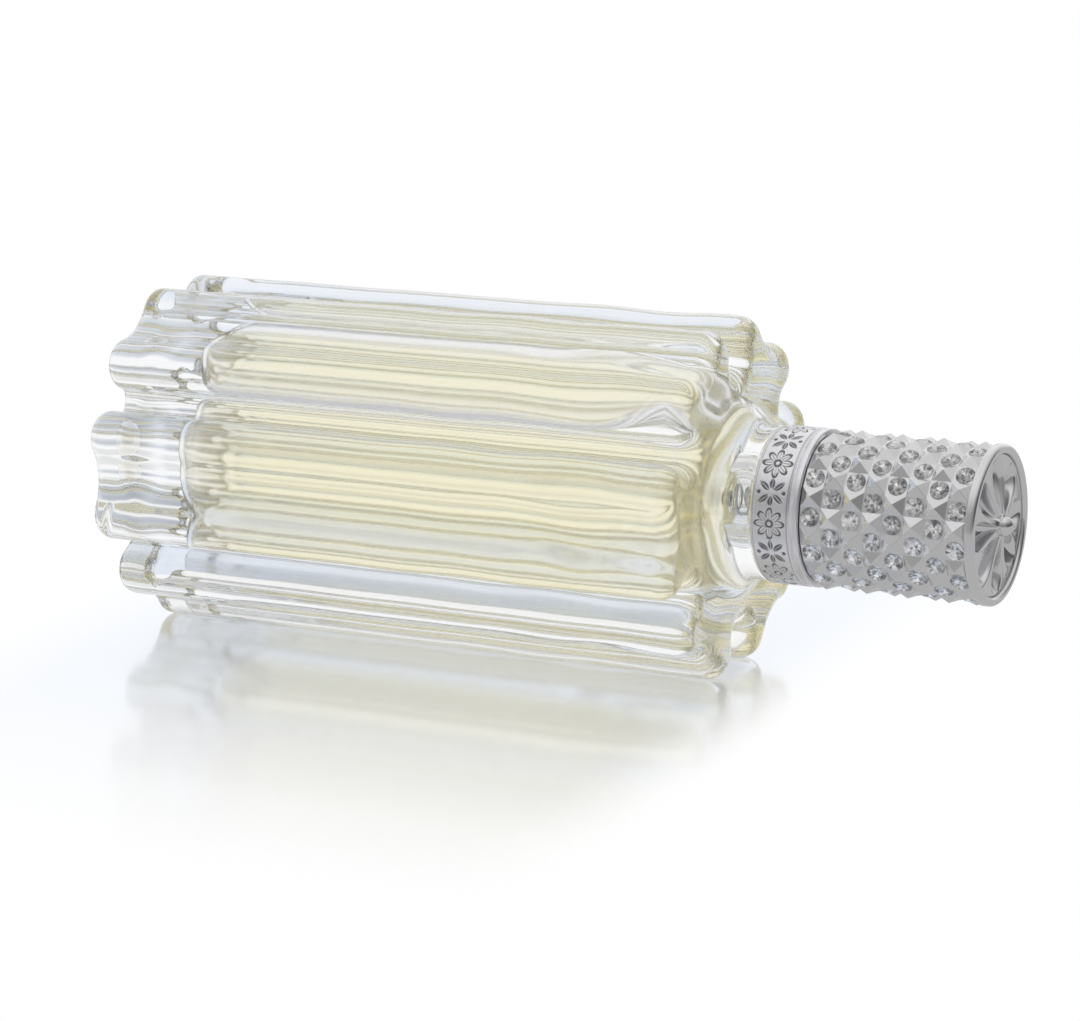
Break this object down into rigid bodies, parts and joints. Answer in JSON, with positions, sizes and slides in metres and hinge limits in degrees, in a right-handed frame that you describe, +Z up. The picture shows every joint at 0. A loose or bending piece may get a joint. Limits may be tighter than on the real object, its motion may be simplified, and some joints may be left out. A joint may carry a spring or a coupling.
{
  "type": "perfume bottle",
  "caption": "Fluted heavy-glass perfume bottle with a crimp spray pump, an ornamented metal collar and a studded lift-off cap.",
  "frame": {"origin": "centre of the flat glass foot, on the surface the bottle stands on", "axes": "+Z up along the bottle's axis to the cap; +Y is the side the spray nozzle faces and has a rib's crease, +X has a flute"},
  "size_m": [0.0538, 0.0538, 0.144],
  "materials": {
    "clear_glass": "polished, clear",
    "pale_yellow_liquid": "clear pale yellow liquid",
    "black_rubber": "matte",
    "bright_aluminium": "bright anodised",
    "silver_plating": "polished silver plating on cast metal",
    "white_plastic": "moulded",
    "natural_plastic": "translucent, moulded",
    "stainless_steel": "bright drawn",
    "crystal": "cut and polished"
  },
  "bodies": {
    "bottle": {"glass_flask": "clear_glass", "perfume": "pale_yellow_liquid", "neck_gasket": "black_rubber", "crimp_ferrule": "bright_aluminium", "collar": "silver_plating", "collar_insert": "white_plastic", "pump_housing": "natural_plastic", "stem_seal": "black_rubber", "pump_gland": "white_plastic", "return_spring": "stainless_steel", "dip_tube": "natural_plastic"},
    "valve_ball": {"inlet_ball": "stainless_steel"},
    "stem": {"pump_stem": "white_plastic", "pump_piston": "natural_plastic"},
    "button": {"actuator_core": "white_plastic", "actuator_sleeve": "bright_aluminium", "nozzle_insert": "white_plastic"},
    "cap": {"cap_shell": "silver_plating", "cap_crystals": "crystal", "cap_liner": "white_plastic", "cap_end_ring": "silver_plating", "cap_flower": "silver_plating"}
  },
  "joints": [
    {"name": "pump_press", "type": "slide", "parent": "bottle", "child": "stem", "axis": [0, 0, -1], "range_m": [0, 0.004], "stiffness_N_per_m": 900, "springref_m": -0.002, "deforming": ["return_spring"]},
    {"name": "button_swivel", "type": "hinge", "parent": "stem", "child": "button", "pos_m": [0, 0, 0.12], "axis": [0, 0, 1], "continuous": true},
    {"name": "inlet_ball_lift", "type": "slide", "parent": "bottle", "child": "valve_ball", "axis": [0, 0, 1], "range_m": [0, 0.0008]},
    {"name": "cap_lift", "type": "slide", "parent": "bottle", "child": "cap", "axis": [0, 0, 1], "range_m": [0, 0.06]}
  ]
}
